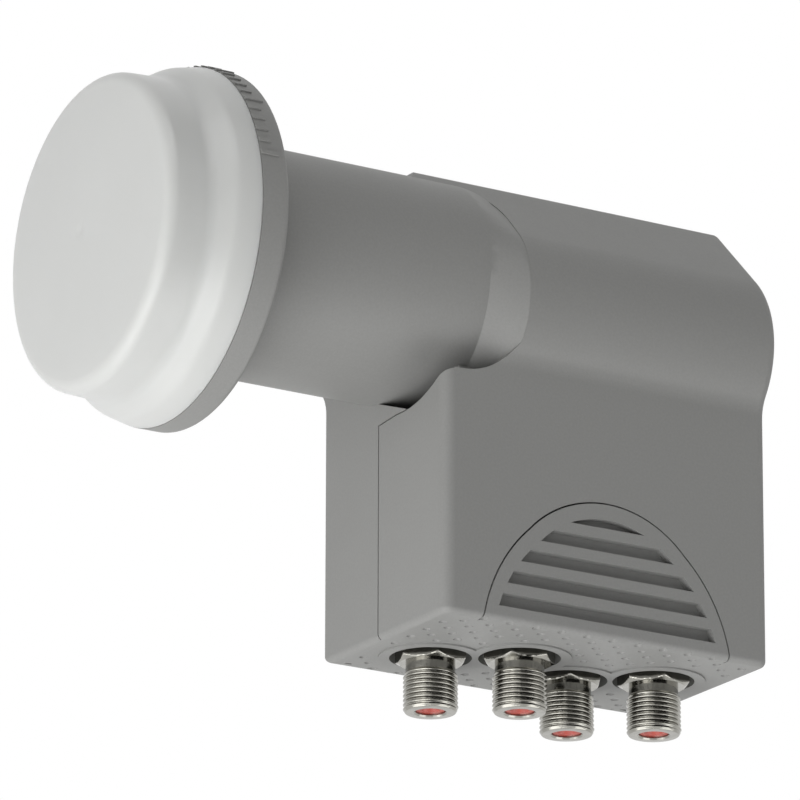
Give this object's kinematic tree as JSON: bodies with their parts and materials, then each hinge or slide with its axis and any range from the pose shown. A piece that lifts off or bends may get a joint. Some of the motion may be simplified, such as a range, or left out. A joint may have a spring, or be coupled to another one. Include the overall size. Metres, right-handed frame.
{
  "type": "satellite lnb",
  "caption": "Satellite LNB: capped feed on a round clamp neck, stepped housing with louvred arches, and threaded F sockets under the base.",
  "frame": {"origin": "on the feed axis at the middle of the neck's clamp zone", "axes": "-Y is the way the feed looks, +X is the side that the cover opens to, -Z is the way the sockets point"},
  "size_m": [0.0618, 0.1253, 0.1031],
  "materials": {
    "housing_grey": "fine moulded texture, mid grey",
    "cap_white": "satin light grey-white",
    "casting": "as cast, dull",
    "seal_rubber": "soft black",
    "steel": "zinc plated",
    "rf_laminate": "pale microwave laminate",
    "green_laminate": "green solder mask",
    "contact_brass": "bright",
    "white_polymer": "white",
    "ceramic": "fired ceramic",
    "chip_black": "moulded package",
    "bright_nickel": "bright nickel plate",
    "red_polymer": "terracotta red"
  },
  "bodies": {
    "root": {"feed_cap": "cap_white", "cap_seal_ring": "seal_rubber", "feed_horn": "casting", "waveguide_seal": "seal_rubber", "neck_shell": "housing_grey", "side_cover": "housing_grey", "base_grille": "housing_grey", "chassis": "casting", "lid_gasket": "seal_rubber", "chassis_lid": "casting", "lid_screws": "steel", "rf_board": "rf_laminate", "if_board": "green_laminate", "vertical_probe": "contact_brass", "horizontal_probe": "contact_brass", "probe_sleeves": "white_polymer", "isolation_pin": "steel", "low_resonator": "ceramic", "high_resonator": "ceramic", "tuning_screws": "contact_brass", "amplifier_transistors": "chip_black", "mixer_chips": "chip_black", "switch_chip": "chip_black", "voltage_regulator": "chip_black", "board_link": "white_polymer", "f_port_1_body": "bright_nickel", "f_port_1_washer": "bright_nickel", "f_port_1_insulator": "red_polymer", "f_port_1_contact": "contact_brass", "f_port_2_body": "bright_nickel", "f_port_2_washer": "bright_nickel", "f_port_2_insulator": "red_polymer", "f_port_2_contact": "contact_brass", "f_port_3_body": "bright_nickel", "f_port_3_washer": "bright_nickel", "f_port_3_insulator": "red_polymer", "f_port_3_contact": "contact_brass", "f_port_4_body": "bright_nickel", "f_port_4_washer": "bright_nickel", "f_port_4_insulator": "red_polymer", "f_port_4_contact": "contact_brass"}
  },
  "joints": []
}
